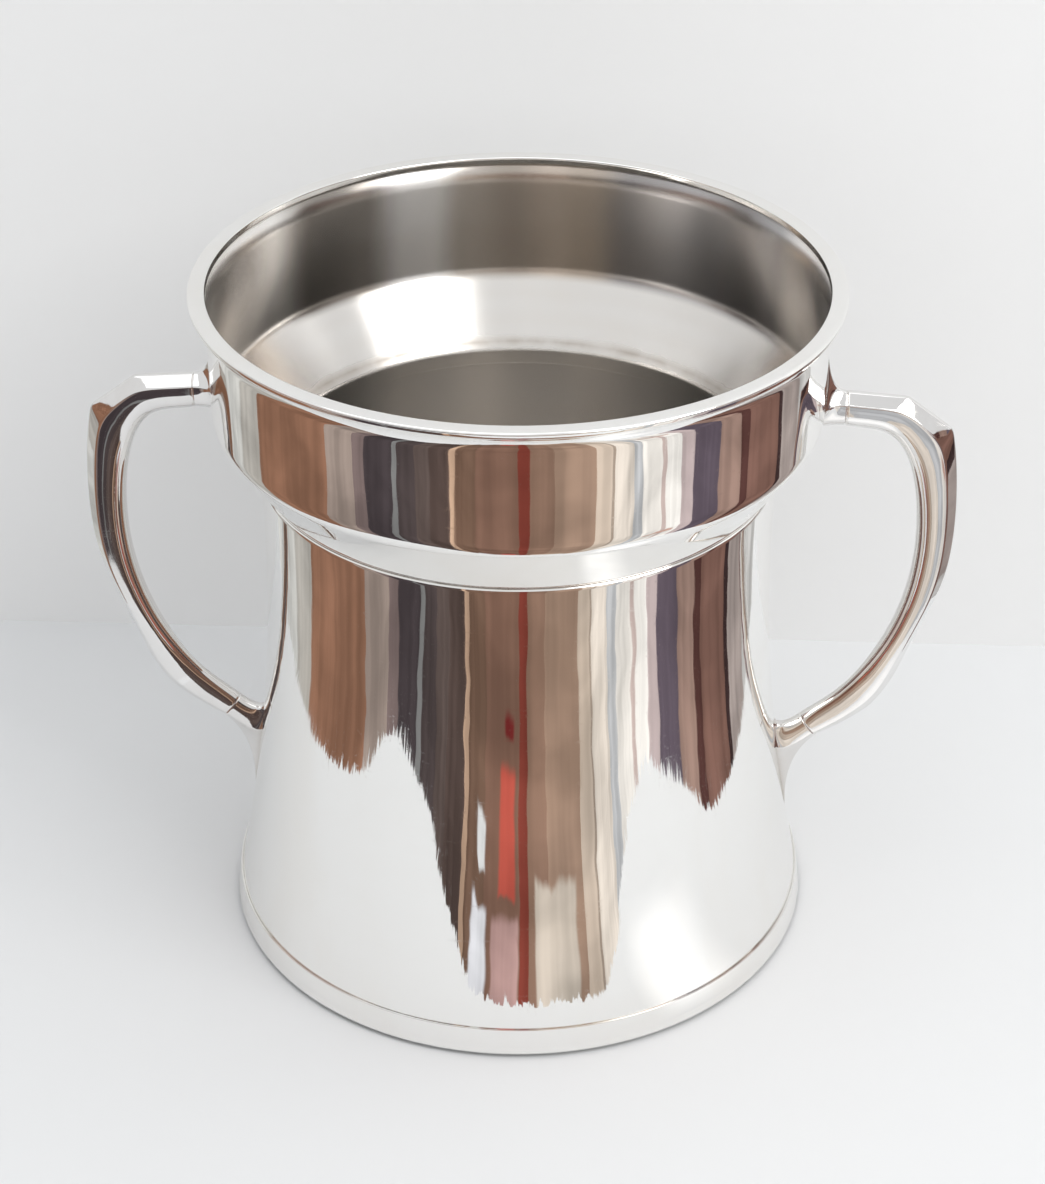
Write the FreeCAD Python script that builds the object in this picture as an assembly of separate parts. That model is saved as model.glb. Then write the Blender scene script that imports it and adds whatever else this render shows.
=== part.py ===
import FreeCAD, Part
import math
import os

Vector = FreeCAD.Vector

# Two-handled champagne bucket in silver plate, soldered up from spun shells, applied wires and castings.
# Millimetres, +Z up, origin at the centre of the face it stands on, handles along +X and -X.

# Bowl: heights are stacked up from the table, radii are stepped down and out from the lip.
body_height = 160.3        # table to the neck, where the collar's underside meets the body
collar_height = 58.7       # neck to the top of the lip
lip_radius = 97.0          # outside of the lip
lip_width = 5.2            # flat top of the lip, across
lip_thickness = 2.2
lip_edge_radius = 0.9
lip_ledge = 1.4            # how far the lip stands out over the cove below it
cove_height = 6.2          # hollow curve under the lip
cove_depth = 3.4           # how far that curve swells outwards
collar_sheet = 1.6
step_width = 13.2          # the collar stands this much proud of the neck
step_slope = 55.0          # underside of the collar, degrees from level
step_turn_radius = 7.0     # bend between the collar's wall and its underside
neck_turn_radius = 1.2
skirt_depth = 7.4          # collar's skirt inside the body, below the neck
body_sheet = 1.6
body_flare = 13.2          # neck to the top of the foot ring, outwards
body_bow = 4.8             # how far the side curves in from a straight line
foot_height = 10.0
foot_wall = 1.5            # foot ring over the outside of the body
foot_top_wall = 0.7
foot_edge_radius = 4.2
foot_seat = 1.5            # thickness of the ring under the body's edge
foot_land = 7.0            # width of the ring's underside
base_sheet = 1.6
base_rise = 4.4            # underside of the bottom, above the table
solder_gap = 0.05          # film of solder between fitted pieces

# Handles: faceted castings, each held by a cast root on the collar and one on the body.
root_overlap = 1.2         # how far a root is let into the wall before it is cut to fit
root_middle = 0.45         # where a root's middle section lies, from the wall to the joint
root_edge_width = 0.8
upper_root_reach = 6.2     # collar wall to the joint with the bar
upper_root_width = 17.0
upper_root_middle_width = 10.4
upper_root_middle_edge = 2.2
upper_root_hollow = 0.3    # how far the root has opened at its middle section
upper_root_spike_up = 20.2
upper_root_spike_down = 5.0
lower_root_reach = 13.0
lower_root_width = 10.0
lower_root_middle_width = 9.0
lower_root_middle_edge = 1.5
lower_root_middle_drop = 9.0
lower_root_top_rise = 1.0
lower_root_top_bite = 3.5
lower_root_height = 60.5   # underside of the joint above the table
lower_root_tail = 35.0     # tail down the body below the joint
arm_drop = 34.2            # top of the lip to the top of the arm
arm_depth = 11.0
arm_width = 9.0
shoulder_reach = 18.6      # joint to the first corner of the arm
shoulder_fall = 1.4
shoulder_back = 5.0        # inner edge behind the corner, and further below it than the arm is deep
shoulder_drop = 0.6
elbow_reach = 32.6         # joint to the second corner
elbow_fall = 11.8
elbow_back = 12.6
elbow_drop = 11.4
grip_bow_reach = 36.2      # joint to the middle of the long outer curve
grip_bow_height = 0.64     # where on the curve that is, from the heel up, as a share
grip_width = 10.0
grip_depth = 10.8
heel_reach = 19.5          # lower joint to the corner at the heel
heel_rise = 15.5
heel_depth = 8.4
heel_width = 6.8
heel_turn = 39.7           # across the bar at the heel, degrees above level
lower_end_depth = 8.8
lower_end_turn = 53.0
lower_end_width = 7.4
bar_edge_share = 0.5       # width of the flat edges as a share of the bar's width
bar_ridge_share = 0.45     # where the side ridges lie, from the outer edge inwards
grip_steps = 8


# Heights and radii that follow from the sizes above.
height = body_height + collar_height
lip_inner_radius = lip_radius - lip_width
lip_bottom = height - lip_thickness
cove_top_radius = lip_radius - lip_ledge
collar_radius = cove_top_radius - cove_depth
cove_bottom = lip_bottom - cove_height
cove_radius = (cove_depth ** 2 + cove_height ** 2) / (2 * cove_depth)
neck_radius = collar_radius - step_width
foot_top_radius = neck_radius + body_flare
slope = math.radians(step_slope)


def circle_of_side():
    """Centre and radius of the arc of the body's side, which lies outside the body."""
    run = body_height - foot_height
    chord = math.hypot(run, body_flare)
    radius = ((chord / 2) ** 2 + body_bow ** 2) / (2 * body_bow)
    reach = radius - body_bow
    centre_r = (neck_radius + foot_top_radius) / 2 + reach * run / chord
    centre_z = (body_height + foot_height) / 2 + reach * body_flare / chord
    return centre_r, centre_z, radius


side_r, side_z, side_radius = circle_of_side()


def body_radius_at(z, depth=0.0):
    """Radius of the body at height z, on the surface depth millimetres inside its outer one."""
    return side_r - math.sqrt((side_radius + depth) ** 2 - (z - side_z) ** 2)


def cove_radius_at(z, depth=0.0):
    centre_r = collar_radius + cove_radius
    return centre_r - math.sqrt((cove_radius + depth) ** 2 - (z - cove_bottom) ** 2)


def tangent_arc(before, corner, after, radius):
    """The three points of an arc that rounds a corner between two straight lines."""
    towards_before = (before - corner).normalize()
    towards_after = (after - corner).normalize()
    half = towards_before.getAngle(towards_after) / 2
    middle_way = (towards_before + towards_after).normalize()
    back = radius / math.tan(half)
    centre = corner + middle_way * (radius / math.sin(half))
    return corner + towards_before * back, centre - middle_way * radius, corner + towards_after * back


def outline(corners):
    """A closed wire in the XZ plane through corners, each (r, z) or (r, z, radius) for a rounded one.

    A corner ("via", r, z) makes the stretch between its neighbours an arc through that point.
    """
    nodes = [c for c in corners if c[0] != "via"]
    places = [Vector(c[0], 0, c[1]) for c in nodes]
    ends = []
    edges = []
    for i, node in enumerate(nodes):
        if len(node) == 3:
            start, middle, end = tangent_arc(places[i - 1], places[i], places[(i + 1) % len(nodes)], node[2])
            edges.append(Part.Arc(start, middle, end).toShape())
            ends.append((start, end))
        else:
            ends.append((places[i], places[i]))
    vias = {}
    count = 0
    for c in corners:
        if c[0] == "via":
            vias[count - 1] = Vector(c[1], 0, c[2])
        else:
            count += 1
    for i in range(len(nodes)):
        start = ends[i][1]
        end = ends[(i + 1) % len(nodes)][0]
        if i in vias:
            edges.append(Part.Arc(start, vias[i], end).toShape())
        elif start.distanceToPoint(end) > 1e-6:
            edges.append(Part.LineSegment(start, end).toShape())
    return Part.Wire(Part.__sortEdges__(edges))


def turned(corners):
    """The outline turned round the Z axis, with its seam at the back, away from the handles."""
    axis = (Vector(0, 0, 0), Vector(0, 0, 1))
    face = Part.Face(outline(corners))
    face.rotate(*axis, 90)
    return face.revolve(*axis, 360)


# Bowl.

def lip_ring():
    return turned([
        (lip_inner_radius, lip_bottom),
        (lip_radius, lip_bottom, lip_edge_radius),
        (lip_radius, height, lip_edge_radius),
        (lip_inner_radius, height, lip_edge_radius / 2),
    ])


skirt_bottom = body_height - skirt_depth
skirt_radius = min(body_radius_at(z, body_sheet) for z in (body_height, skirt_bottom)) - solder_gap
skirt_top = body_height - (neck_radius - skirt_radius) * math.tan(slope)
step_top = body_height + step_width * math.tan(slope)
sheet_shift = collar_sheet * math.tan((math.pi / 2 - slope) / 2)
cove_middle = cove_bottom + cove_height / 2


def collar_outside():
    """The outer side of the collar, from the lip down to the end of its skirt."""
    return [
        (cove_top_radius, lip_bottom),
        ("via", cove_radius_at(cove_middle), cove_middle),
        (collar_radius, cove_bottom),
        (collar_radius, step_top, step_turn_radius),
        (skirt_radius, skirt_top, neck_turn_radius),
        (skirt_radius, skirt_bottom),
    ]


def collar():
    return turned(collar_outside() + [
        (skirt_radius - collar_sheet, skirt_bottom),
        (skirt_radius - collar_sheet, skirt_top + sheet_shift, neck_turn_radius + collar_sheet),
        (collar_radius - collar_sheet, step_top + sheet_shift, step_turn_radius - collar_sheet),
        (collar_radius - collar_sheet, cove_bottom),
        ("via", cove_radius_at(cove_middle, collar_sheet), cove_middle),
        (cove_radius_at(lip_bottom, collar_sheet), lip_bottom),
    ])


def body_shell():
    inner_neck = body_radius_at(body_height, body_sheet)
    inner_neck_height = body_height - (neck_radius - inner_neck) * math.tan(slope)
    middle = body_height / 2
    return turned([
        (neck_radius, body_height),
        ("via", body_radius_at(middle), middle),
        (body_radius_at(foot_seat), foot_seat),
        (body_radius_at(foot_seat, body_sheet), foot_seat),
        ("via", body_radius_at(middle, body_sheet), middle),
        (inner_neck, inner_neck_height),
    ])


def foot_ring():
    seat_radius = body_radius_at(foot_seat)
    foot_radius = seat_radius + foot_wall
    middle = (foot_seat + foot_height) / 2
    return turned([
        (foot_radius - foot_land, 0),
        (foot_radius, 0, foot_edge_radius),
        (foot_top_radius + foot_top_wall, foot_height),
        (foot_top_radius, foot_height),
        ("via", body_radius_at(middle), middle),
        (seat_radius, foot_seat),
        (foot_radius - foot_land, foot_seat),
    ])


def base_plate():
    """The bottom: a disc with a turned-down edge that follows the inside of the body."""
    top = base_rise + base_sheet
    depth = body_sheet + solder_gap
    middle = (foot_seat + top) / 2
    under = (foot_seat + base_rise) / 2
    return turned([
        (0, top),
        (body_radius_at(top, depth), top),
        ("via", body_radius_at(middle, depth), middle),
        (body_radius_at(foot_seat, depth), foot_seat),
        (body_radius_at(foot_seat, depth + base_sheet), foot_seat),
        ("via", body_radius_at(under, depth + base_sheet), under),
        (body_radius_at(base_rise, depth + base_sheet), base_rise),
        (0, base_rise),
    ])


# Handles.

def section(outer, inner, width, outer_edge, inner_edge):
    """A six-sided section between an outer and an inner point (x, z), widest at its side ridges."""
    ridge_x = outer[0] + (inner[0] - outer[0]) * bar_ridge_share
    ridge_z = outer[1] + (inner[1] - outer[1]) * bar_ridge_share
    ring = [
        Vector(outer[0], -outer_edge / 2, outer[1]),
        Vector(ridge_x, -width / 2, ridge_z),
        Vector(inner[0], -inner_edge / 2, inner[1]),
        Vector(inner[0], inner_edge / 2, inner[1]),
        Vector(ridge_x, width / 2, ridge_z),
        Vector(outer[0], outer_edge / 2, outer[1]),
    ]
    return Part.makePolygon(ring + ring[:1])


def bar_section(outer, inner, width):
    return section(outer, inner, width, width * bar_edge_share, width * bar_edge_share)


def arc_through(start, middle, end):
    points = [Vector(p[0], 0, p[1]) for p in (start, middle, end)]
    return Part.Arc(*points).toShape()


def even_points(edge, steps):
    """Points (x, z) at equal steps along an edge, its ends left out."""
    points = [edge.valueAt(edge.FirstParameter + (edge.LastParameter - edge.FirstParameter) * i / steps)
              for i in range(1, steps)]
    return [(p.x, p.z) for p in points]


def across_bar(outer, depth, turn):
    """The point (x, z) across the bar from one on its outer edge."""
    return outer[0] - depth * math.cos(math.radians(turn)), outer[1] + depth * math.sin(math.radians(turn))


arm_x = collar_radius + upper_root_reach
arm_z = height - arm_drop
lower_x = body_radius_at(lower_root_height) + lower_root_reach
joint_outer = (arm_x, arm_z)
joint_inner = (arm_x, arm_z - arm_depth)
shoulder_outer = (arm_x + shoulder_reach, arm_z - shoulder_fall)
shoulder_inner = (shoulder_outer[0] - shoulder_back, shoulder_outer[1] - arm_depth - shoulder_drop)
elbow_outer = (arm_x + elbow_reach, arm_z - elbow_fall)
elbow_inner = (elbow_outer[0] - elbow_back, elbow_outer[1] - elbow_drop)
heel_outer = (lower_x + heel_reach, lower_root_height + heel_rise)
heel_inner = across_bar(heel_outer, heel_depth, heel_turn)
end_outer = (lower_x, lower_root_height)
end_inner = across_bar(end_outer, lower_end_depth, lower_end_turn)
bow_z = heel_outer[1] + (elbow_outer[1] - heel_outer[1]) * grip_bow_height
bow_outer = (arm_x + grip_bow_reach, bow_z)
bow_inner = (bow_outer[0] - grip_depth, bow_z)


def handle_bar():
    outer_curve = even_points(arc_through(elbow_outer, bow_outer, heel_outer), grip_steps)
    inner_curve = even_points(arc_through(elbow_inner, bow_inner, heel_inner), grip_steps)
    sections = [
        bar_section(joint_outer, joint_inner, arm_width),
        bar_section(shoulder_outer, shoulder_inner, arm_width),
        bar_section(elbow_outer, elbow_inner, grip_width),
    ]
    for i, (outer, inner) in enumerate(zip(outer_curve, inner_curve), start=1):
        share = i / grip_steps
        sections.append(bar_section(outer, inner, grip_width + (heel_width - grip_width) * share))
    sections.append(bar_section(heel_outer, heel_inner, heel_width))
    sections.append(bar_section(end_outer, end_inner, lower_end_width))
    return Part.makeLoft(sections, True, True)


def solid_inside(corners):
    """What a turned surface encloses, used to shape what sits on it."""
    return turned(corners + [(0, corners[-1][1]), (0, corners[0][1])])


def upper_root():
    middle_x = collar_radius + upper_root_reach * root_middle
    buried = collar_radius - root_overlap
    edge = arm_width * bar_edge_share
    flare = Part.makeLoft([
        section(joint_outer, joint_inner, arm_width, edge, edge),
        section((middle_x, arm_z + upper_root_spike_up * upper_root_hollow),
                (middle_x, joint_inner[1] - upper_root_spike_down * upper_root_hollow),
                upper_root_middle_width, upper_root_middle_edge, upper_root_middle_edge),
        section((buried, arm_z + upper_root_spike_up), (buried, joint_inner[1] - upper_root_spike_down),
                upper_root_width, root_edge_width, root_edge_width),
    ], True, True)
    return flare.cut(solid_inside(collar_outside()))


def lower_root():
    tail_z = lower_root_height - lower_root_tail
    tail = (body_radius_at(tail_z) + root_edge_width / 2, tail_z)
    middle_z = lower_root_height - lower_root_middle_drop
    middle = (body_radius_at(middle_z) + lower_root_reach * root_middle, middle_z)
    top_z = end_inner[1] + lower_root_top_rise
    top = (body_radius_at(top_z), top_z)
    buried_top = (top[0] - lower_root_top_bite, top_z + root_overlap)
    edge = lower_end_width * bar_edge_share
    flare = Part.makeLoft([
        section(end_outer, end_inner, lower_end_width, edge, edge),
        section(middle, top, lower_root_middle_width, lower_root_middle_edge, edge),
        section(tail, buried_top, lower_root_width, root_edge_width, root_edge_width),
    ], True, True)
    return flare.cut(solid_inside([
        (neck_radius, body_height),
        ("via", body_radius_at(body_height / 2), body_height / 2),
        (body_radius_at(foot_seat), foot_seat),
    ]))


def both_sides(name, shape):
    other = shape.copy()
    other.rotate(Vector(0, 0, 0), Vector(0, 0, 1), 180)
    return {"right_" + name: shape, "left_" + name: other}


pieces = {
    "lip_ring": lip_ring(),
    "collar": collar(),
    "body_shell": body_shell(),
    "foot_ring": foot_ring(),
    "base_plate": base_plate(),
}
pieces.update(both_sides("handle_bar", handle_bar()))
pieces.update(both_sides("upper_root", upper_root()))
pieces.update(both_sides("lower_root", lower_root()))

os.makedirs("parts", exist_ok=True)
for name, shape in pieces.items():
    solid = shape.Solids[0] if len(shape.Solids) == 1 else shape
    if not solid.isValid() or len(shape.Solids) != 1:
        print("check", name, len(shape.Solids), "solids, valid:", shape.isValid())
    solid.exportStep(os.path.join("parts", name + ".step"))
    print(name, "volume", round(solid.Volume), "mm3")
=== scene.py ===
import bpy
import numpy as np
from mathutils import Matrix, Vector


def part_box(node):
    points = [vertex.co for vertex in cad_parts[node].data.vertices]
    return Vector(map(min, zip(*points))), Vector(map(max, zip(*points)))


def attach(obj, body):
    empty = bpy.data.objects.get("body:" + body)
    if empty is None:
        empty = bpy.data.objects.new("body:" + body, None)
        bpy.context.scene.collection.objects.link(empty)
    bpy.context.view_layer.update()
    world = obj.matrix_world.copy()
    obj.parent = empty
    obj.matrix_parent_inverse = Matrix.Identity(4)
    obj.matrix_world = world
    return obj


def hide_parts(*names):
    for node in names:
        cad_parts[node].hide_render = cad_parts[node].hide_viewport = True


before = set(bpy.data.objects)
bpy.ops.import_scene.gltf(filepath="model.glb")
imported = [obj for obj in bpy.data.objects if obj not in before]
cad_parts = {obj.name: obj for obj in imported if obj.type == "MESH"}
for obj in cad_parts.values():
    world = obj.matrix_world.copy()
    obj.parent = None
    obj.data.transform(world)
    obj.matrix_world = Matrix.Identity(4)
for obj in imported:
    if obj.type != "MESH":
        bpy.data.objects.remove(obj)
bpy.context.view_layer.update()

# Two-handled champagne bucket in polished silver plate. Lengths in the dictionaries are millimetres.
mm = 0.001


def lowOf(node):
    return np.array(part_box(node)[0]) / mm


def highOf(node):
    return np.array(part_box(node)[1]) / mm


# surfaces: points are worked out in millimetres and turned into metres by makePiece

def quadGrid(rows, columns, closeRows, closeColumns):
    # four corner numbers for each cell of a rows by columns grid, wrapping round where it is closed
    i = np.arange(rows if closeRows else rows - 1)[:, None]
    j = np.arange(columns if closeColumns else columns - 1)[None, :]
    i2, j2 = (i + 1) % rows, (j + 1) % columns
    cells = np.stack([i * columns + j, i * columns + j2, i2 * columns + j2, i2 * columns + j], -1)
    return cells.reshape(-1, 4)


def makePiece(name, points, faces, materials, faceSlots=None, body="root", nodes=(), slot=None):
    mesh = bpy.data.meshes.new(name)
    mesh.from_pydata(np.asarray(points * mm).tolist(), [], faces)
    mesh.update()
    for material in materials:
        mesh.materials.append(material)
    mesh.polygons.foreach_set("use_smooth", np.ones(len(mesh.polygons), bool))
    if faceSlots is not None:
        mesh.polygons.foreach_set("material_index", np.asarray(faceSlots, np.int32))
    mesh.validate()
    piece = bpy.data.objects.new(name, mesh)
    bpy.context.scene.collection.objects.link(piece)
    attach(piece, body)
    if nodes:
        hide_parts(*nodes)
    return piece


def roundedLine(corners, step=1.0):
    # a closed line through corners (r, z, radius): each corner becomes the arc tangent to its two sides,
    # centre + (sin((1-s)w) a + sin(sw) b) radius / sin w, and straight runs are cut every step
    corners = np.array(corners, float)
    points, n = [], len(corners)
    before = np.roll(corners, 1, 0)[:, :2] - corners[:, :2]
    after = np.roll(corners, -1, 0)[:, :2] - corners[:, :2]
    for k in range(n):
        place, radius = corners[k, :2], corners[k, 2]
        u = before[k] / np.hypot(*before[k])
        v = after[k] / np.hypot(*after[k])
        if radius > 0:
            half = np.arccos(np.clip(u @ v, -1, 1)) / 2
            middle = (u + v) / np.hypot(*(u + v))
            centre = place + middle * radius / np.sin(half)
            a = (place + u * radius / np.tan(half) - centre) / radius
            b = (place + v * radius / np.tan(half) - centre) / radius
            w = np.pi - 2 * half
            s = np.linspace(0, 1, max(5, int(np.degrees(w) / 6)))[:, None]
            arc = centre + (np.sin((1 - s) * w) * a + np.sin(s * w) * b) * radius / np.sin(w)
        else:
            arc = place[None, :]
        points.append(arc)
    line = []
    for k in range(n):
        start, end = points[k][-1], points[(k + 1) % n][0]
        length = np.hypot(*(end - start))
        cuts = np.linspace(0, 1, max(1, int(np.ceil(length / step))) + 1)[1:-1, None]
        line += [points[k], start + (end - start) * cuts]
    return np.concatenate(line)


def turned(name, profile, materials, innerSlot=0, around=320, **where):
    # the profile (r, z) carried round the axis: (r cos t, r sin t, z)
    area = np.sum(profile[:, 0] * np.roll(profile[:, 1], -1) - np.roll(profile[:, 0], -1) * profile[:, 1])
    if area < 0:
        profile = profile[::-1]
    t = np.linspace(0, 2 * np.pi, around, endpoint=False)[None, :]
    r, z = profile[:, :1], profile[:, 1:]
    points = np.stack([r * np.cos(t), r * np.sin(t), z + 0 * t], -1).reshape(-1, 3)
    faces = quadGrid(len(profile), around, True, True)
    rise = np.roll(profile[:, 1], -1) - profile[:, 1]        # a side that falls faces the axis
    slots = np.where(rise < -1e-6, innerSlot, 0)
    return makePiece(name, points, faces.tolist(), materials, np.repeat(slots, around), **where)


def turnedDisc(name, profile, materials, around=320, **where):
    # as turned, for a profile that starts and ends on the axis: one point there, and a fan round it
    ring = profile[1:-1]
    t = np.linspace(0, 2 * np.pi, around, endpoint=False)[None, :]
    r, z = ring[:, :1], ring[:, 1:]
    points = np.stack([r * np.cos(t), r * np.sin(t), z + 0 * t], -1).reshape(-1, 3)
    poles = np.array([[0, 0, profile[0, 1]], [0, 0, profile[-1, 1]]])
    j = np.arange(around)
    last = (len(ring) - 1) * around
    first = np.stack([j * 0 + len(points), (j + 1) % around, j], -1)
    final = np.stack([j * 0 + len(points) + 1, last + j, last + (j + 1) % around], -1)
    faces = quadGrid(len(ring), around, False, True).tolist() + first.tolist() + final.tolist()
    return makePiece(name, np.concatenate([points, poles]), faces, materials, **where)


# shared effects for the metal

def newGroup(name, inputs, outputs):
    group = bpy.data.node_groups.new(name, "ShaderNodeTree")
    for label, kind, value in inputs:
        socket = group.interface.new_socket(name=label, in_out="INPUT", socket_type=kind)
        if value is not None:
            socket.default_value = value
    for label, kind in outputs:
        group.interface.new_socket(name=label, in_out="OUTPUT", socket_type=kind)
    return group, group.nodes.new("NodeGroupInput"), group.nodes.new("NodeGroupOutput")


def mathNode(tree, kind, a, b=None, c=None, clamp=False):
    node = tree.nodes.new("ShaderNodeMath")
    node.operation = kind
    node.use_clamp = clamp
    for k, value in enumerate((a, b, c)):
        if value is None:
            continue
        if isinstance(value, (int, float)):
            node.inputs[k].default_value = value
        else:
            tree.links.new(value, node.inputs[k])
    return node.outputs[0]


def noiseNode(tree, place, scale, detail=2.0, roughness=0.5, distortion=0.0):
    node = tree.nodes.new("ShaderNodeTexNoise")
    node.inputs["Detail"].default_value = detail
    node.inputs["Roughness"].default_value = roughness
    node.inputs["Distortion"].default_value = distortion
    tree.links.new(place, node.inputs["Vector"])
    if isinstance(scale, (int, float)):
        node.inputs["Scale"].default_value = scale
    else:
        tree.links.new(scale, node.inputs["Scale"])
    return node.outputs["Fac"]


def stretched(tree, place, scale, turn=(0, 0, 0)):
    node = tree.nodes.new("ShaderNodeMapping")
    node.inputs["Scale"].default_value = scale
    node.inputs["Rotation"].default_value = turn
    tree.links.new(place, node.inputs["Vector"])
    return node.outputs[0]


def remapped(tree, value, fromLow, fromHigh, toLow=0.0, toHigh=1.0):
    node = tree.nodes.new("ShaderNodeMapRange")
    node.interpolation_type = "SMOOTHSTEP"
    ends = {"From Min": fromLow, "From Max": fromHigh, "To Min": toLow, "To Max": toHigh}
    for label, number in ends.items():
        if isinstance(number, (int, float)):
            node.inputs[label].default_value = number
        else:
            tree.links.new(number, node.inputs[label])
    tree.links.new(value, node.inputs["Value"])
    return node.outputs["Result"]


def makeWaviness():
    # slow unevenness of hand-finished sheet: a broad swell and a finer planishing ripple
    group, inside, out = newGroup("sheetWaviness", [
        ("Place", "NodeSocketVector", None), ("Swells per metre", "NodeSocketFloat", 18.0),
        ("Ripples per metre", "NodeSocketFloat", 70.0), ("Ripple share", "NodeSocketFloat", 0.3)],
        [("Height", "NodeSocketFloat")])
    tall = stretched(group, inside.outputs["Place"], (1, 1, 0.55))
    swell = noiseNode(group, tall, inside.outputs["Swells per metre"], 1.0)
    ripple = noiseNode(group, tall, inside.outputs["Ripples per metre"], 1.5)
    share = mathNode(group, "MULTIPLY", ripple, inside.outputs["Ripple share"])
    group.links.new(mathNode(group, "ADD", swell, share), out.inputs["Height"])
    return group


def makeHairlines():
    # fine handling scratches: the tops of three noises, each drawn out long and turned another way
    group, inside, out = newGroup("hairlines", [
        ("Place", "NodeSocketVector", None), ("Fineness", "NodeSocketFloat", 900.0),
        ("Cover", "NodeSocketFloat", 0.5)], [("Mask", "NodeSocketFloat")])
    total = None
    directions = [((0.3, 0.2, 0.5), (1, 0.02, 1)), ((1.1, 0.7, 0.1), (0.02, 1, 1)),
                  ((0.2, 1.3, 0.9), (1, 1, 0.025))]
    for turn, stretch in directions:
        drawnOut = stretched(group, inside.outputs["Place"], stretch, turn)
        thin = remapped(group, noiseNode(group, drawnOut, inside.outputs["Fineness"], 1.0), 0.66, 0.74)
        total = thin if total is None else mathNode(group, "MAXIMUM", total, thin)
    mask = mathNode(group, "MULTIPLY", total, inside.outputs["Cover"], clamp=True)
    group.links.new(mask, out.inputs["Mask"])
    return group


def makeSpunRings():
    # faint lathe rings: noise read along the radius and the height only
    group, inside, out = newGroup("spunRings", [
        ("Place", "NodeSocketVector", None), ("Rings per metre", "NodeSocketFloat", 1200.0)],
        [("Height", "NodeSocketFloat"), ("Broad", "NodeSocketFloat")])
    apart = group.nodes.new("ShaderNodeSeparateXYZ")
    group.links.new(inside.outputs["Place"], apart.inputs[0])
    squares = [mathNode(group, "MULTIPLY", apart.outputs[k], apart.outputs[k]) for k in (0, 1)]
    radius = mathNode(group, "SQRT", mathNode(group, "ADD", *squares))
    along = group.nodes.new("ShaderNodeCombineXYZ")
    group.links.new(radius, along.inputs[0])
    group.links.new(apart.outputs[2], along.inputs[2])
    fine = noiseNode(group, along.outputs[0], inside.outputs["Rings per metre"], 3.0, 0.7)
    group.links.new(fine, out.inputs["Height"])
    group.links.new(noiseNode(group, along.outputs[0], 160.0, 2.0), out.inputs["Broad"])
    return group


def makeSeamGrime():
    # polish residue and tarnish that stays beside a seam, fading away from its height
    group, inside, out = newGroup("seamGrime", [
        ("Place", "NodeSocketVector", None), ("Level", "NodeSocketFloat", 0.0),
        ("Reach", "NodeSocketFloat", 0.002)], [("Mask", "NodeSocketFloat")])
    apart = group.nodes.new("ShaderNodeSeparateXYZ")
    group.links.new(inside.outputs["Place"], apart.inputs[0])
    away = mathNode(group, "ABSOLUTE", mathNode(group, "SUBTRACT", apart.outputs[2], inside.outputs["Level"]))
    patchy = remapped(group, noiseNode(group, inside.outputs["Place"], 120.0, 3.0), 0.3, 0.7, 0.45, 1.0)
    share = mathNode(group, "DIVIDE", away, inside.outputs["Reach"])
    fade = mathNode(group, "POWER", mathNode(group, "SUBTRACT", 1.0, share, clamp=True), 2.0)
    group.links.new(mathNode(group, "MULTIPLY", fade, patchy), out.inputs["Mask"])
    return group


def makeSmudges():
    # soft clouds left by the polishing cloth
    group, inside, out = newGroup("clothSmudges", [
        ("Place", "NodeSocketVector", None), ("Clouds per metre", "NodeSocketFloat", 30.0)],
        [("Mask", "NodeSocketFloat")])
    wiped = stretched(group, inside.outputs["Place"], (1, 1, 0.4), (0.2, 0.3, 0.0))
    clouds = noiseNode(group, wiped, inside.outputs["Clouds per metre"], 4.0, 0.6, 0.6)
    group.links.new(remapped(group, clouds, 0.42, 0.72), out.inputs["Mask"])
    return group


def makeEdgeWear():
    # plate rubbed bright on proud edges, from the curvature of the surface
    group, inside, out = newGroup("edgeWear", [
        ("Place", "NodeSocketVector", None), ("Curvature", "NodeSocketFloat", 0.5),
        ("Amount", "NodeSocketFloat", 1.0)], [("Mask", "NodeSocketFloat")])
    proud = remapped(group, inside.outputs["Curvature"], 0.5, 0.62)
    broken = remapped(group, noiseNode(group, inside.outputs["Place"], 260.0, 3.0), 0.35, 0.65, 0.4, 1.0)
    worn = mathNode(group, "MULTIPLY", mathNode(group, "MULTIPLY", proud, broken), inside.outputs["Amount"])
    group.links.new(worn, out.inputs["Mask"])
    return group


waviness, hairlines, spunRings = makeWaviness(), makeHairlines(), makeSpunRings()
seamGrime, clothSmudges, edgeWear = makeSeamGrime(), makeSmudges(), makeEdgeWear()
print("shared effects ready")


def placed(tree, group, place, **values):
    node = tree.nodes.new("ShaderNodeGroup")
    node.node_tree = group
    tree.links.new(place, node.inputs["Place"])
    for label, value in values.items():
        node.inputs[label.replace("_", " ")].default_value = value
    return node


def mixedColour(tree, mask, first, second):
    node = tree.nodes.new("ShaderNodeMix")
    node.data_type = "RGBA"
    tree.links.new(mask, node.inputs["Factor"])
    for k, value in ((6, first), (7, second)):
        if isinstance(value, tuple):
            node.inputs[k].default_value = (*value, 1)
        else:
            tree.links.new(value, node.inputs[k])
    return node.outputs[2]


def bandedRamp(tree, position, bands, interpolation, fullTurn):
    # one stop for each (degrees, colour); position runs 0 to 1 over fullTurn degrees with 0 degrees in its middle
    ramp = tree.nodes.new("ShaderNodeValToRGB")
    tree.links.new(position, ramp.inputs[0])
    stops = ramp.color_ramp
    stops.interpolation = interpolation
    stops.elements.remove(stops.elements[1])
    stops.elements[0].position = bands[0][0] / fullTurn + 0.5
    stops.elements[0].color = (*bands[0][1], 1)
    for degrees, colour in bands[1:]:
        stops.elements.new(degrees / fullTurn + 0.5).color = (*colour, 1)
    return ramp.outputs[0]


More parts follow.
